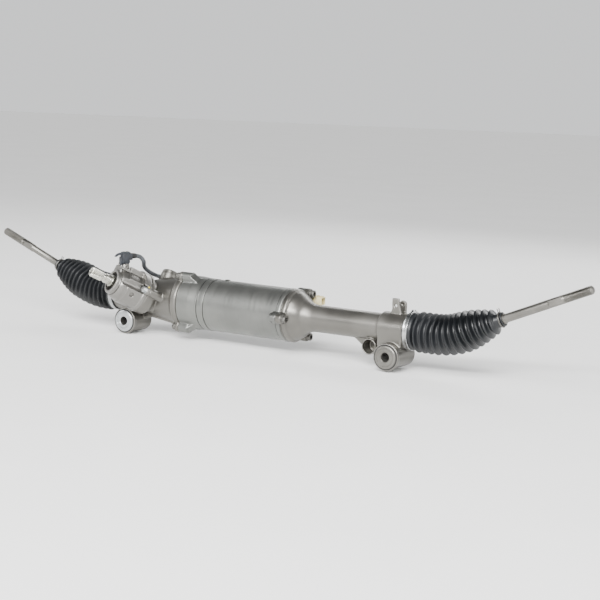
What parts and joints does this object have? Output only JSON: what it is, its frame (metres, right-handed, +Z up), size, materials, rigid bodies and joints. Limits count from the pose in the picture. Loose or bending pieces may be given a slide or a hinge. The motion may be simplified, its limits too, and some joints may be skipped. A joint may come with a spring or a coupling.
{
  "type": "electric power steering rack",
  "caption": "Rack and pinion steering gear with a concentric electric motor round the rack bar, slanted input shaft with torque sensor, rubber bellows, jointed tie rods and bushed mounts.",
  "frame": {"origin": "on the left mount's bore axis, straight below the rack axis", "axes": "+X along the rack bar to the picture's right, +Y from the mount fronts to their backs, +Z up"},
  "size_m": [1.199, 0.1931, 0.1734],
  "materials": {
    "bearing_steel": "ground",
    "bellows_rubber": "moulded, slight gloss",
    "bush_rubber": "bonded",
    "cable_sheath": "extruded",
    "casting": "sand-cast, satin",
    "connector_plastic": "moulded",
    "copper_winding": "lacquered wire",
    "lamination": "stacked sheet",
    "machined_steel": "machined",
    "magnet": "sintered, coated",
    "natural_plastic": "moulded nylon",
    "seat_plastic": "acetal",
    "sensor_casting": "cast, lightly blasted",
    "stainless_band": "bright strip",
    "zinc_plated": "bright zinc plate"
  },
  "bodies": {
    "housing": {"pinion_housing": "casting", "left_motor_flange": "casting", "sensor_housing": "sensor_casting", "motor_housing": "casting", "right_motor_flange": "casting", "right_housing": "casting", "stator_core": "lamination", "stator_windings": "copper_winding", "rotor_bearing_outers": "bearing_steel", "resolver_stator": "lamination", "left_bush_shell": "machined_steel", "left_bush_rubber": "bush_rubber", "left_bush_sleeve": "zinc_plated", "right_bush_shell": "machined_steel", "right_bush_rubber": "bush_rubber", "right_bush_sleeve": "zinc_plated", "rack_bush": "seat_plastic", "rack_guide": "machined_steel", "guide_spring": "machined_steel", "guide_plug": "machined_steel", "pinion_bearing_outers": "bearing_steel", "pinion_end_cap": "machined_steel", "input_dust_seal": "bellows_rubber", "left_boot_clamp": "stainless_band", "right_boot_clamp": "stainless_band", "left_boot": "bellows_rubber", "right_boot": "bellows_rubber", "sensor_socket": "sensor_casting", "sensor_plug": "connector_plastic", "sensor_cable": "cable_sheath", "cable_grommet": "bellows_rubber", "motor_connector": "natural_plastic", "torque_sensor_coils": "copper_winding", "left_flange_bolts": "machined_steel", "right_flange_bolts": "machined_steel", "sensor_housing_bolts": "machined_steel"},
    "rotor": {"rotor_shaft": "machined_steel", "rotor_magnets": "magnet", "ball_nut": "bearing_steel", "nut_lock_ring": "machined_steel", "rotor_bearing_inners": "bearing_steel", "resolver_rotor": "lamination"},
    "rack": {"rack_bar": "machined_steel", "left_ball_socket": "machined_steel", "right_ball_socket": "machined_steel", "left_lock_washer": "zinc_plated", "right_lock_washer": "zinc_plated"},
    "pinion": {"pinion_shaft": "machined_steel", "pinion_bearing_inners": "bearing_steel"},
    "input": {"input_shaft": "zinc_plated", "torsion_bar": "machined_steel", "torque_sensor_ring": "machined_steel"},
    "left_seat_back": {"left_ball_seat_back": "seat_plastic"},
    "left_seat_front": {"left_ball_seat_front": "seat_plastic", "left_boot_clip": "zinc_plated"},
    "left_rod": {"left_tie_rod": "machined_steel"},
    "right_seat_back": {"right_ball_seat_back": "seat_plastic"},
    "right_seat_front": {"right_ball_seat_front": "seat_plastic", "right_boot_clip": "zinc_plated"},
    "right_rod": {"right_tie_rod": "machined_steel"}
  },
  "joints": [
    {"name": "rotor_spin", "type": "hinge", "parent": "housing", "child": "rotor", "pos_m": [0.2, 0, 0.043], "axis": [1, 0, 0], "range_deg": [-2610, 3510]},
    {"name": "rack_travel", "type": "slide", "parent": "housing", "child": "rack", "axis": [1, 0, 0], "range_m": [-0.0781, 0.0581], "deforming": ["left_boot", "right_boot"]},
    {"name": "pinion_turn", "type": "hinge", "parent": "housing", "child": "pinion", "pos_m": [0.052, -0.0062, 0.03157], "axis": [-0.4399, -0.7892, 0.4285], "range_deg": [-436, 586]},
    {"name": "torsion_twist", "type": "hinge", "parent": "pinion", "child": "input", "pos_m": [0.00801, -0.08512, 0.07443], "axis": [-0.4399, -0.7892, 0.4285], "range_deg": [-4.5, 4.5], "stiffness_Nm_per_rad": 60},
    {"name": "left_rod_lift", "type": "hinge", "parent": "rack", "child": "left_seat_back", "pos_m": [-0.096, 0, 0.043], "axis": [0, 1, 0], "range_deg": [-46.5, 5.5], "deforming": ["left_boot"]},
    {"name": "left_rod_sweep", "type": "hinge", "parent": "left_seat_back", "child": "left_seat_front", "pos_m": [-0.096, 0, 0.043], "axis": [0.3665, 0, 0.9304], "range_deg": [-18, 18], "deforming": ["left_boot"]},
    {"name": "left_rod_spin", "type": "hinge", "parent": "left_seat_front", "child": "left_rod", "pos_m": [-0.096, 0, 0.043], "axis": [-0.9304, 0, 0.3665], "continuous": true},
    {"name": "right_rod_lift", "type": "hinge", "parent": "rack", "child": "right_seat_back", "pos_m": [0.6333, 0, 0.043], "axis": [0, -1, 0], "range_deg": [-48.4, 3.6], "deforming": ["right_boot"]},
    {"name": "right_rod_sweep", "type": "hinge", "parent": "right_seat_back", "child": "right_seat_front", "pos_m": [0.6333, 0, 0.043], "axis": [-0.3971, 0, 0.9178], "range_deg": [-18, 18], "deforming": ["right_boot"]},
    {"name": "right_rod_spin", "type": "hinge", "parent": "right_seat_front", "child": "right_rod", "pos_m": [0.6333, 0, 0.043], "axis": [0.9178, 0, 0.3971], "continuous": true}
  ],
  "couplings": [
    {"joint": "rack_travel", "follows": "rotor_spin", "m_per_rad": -0.0012732},
    {"joint": "pinion_turn", "follows": "rotor_spin", "ratio": 0.16668}
  ]
}
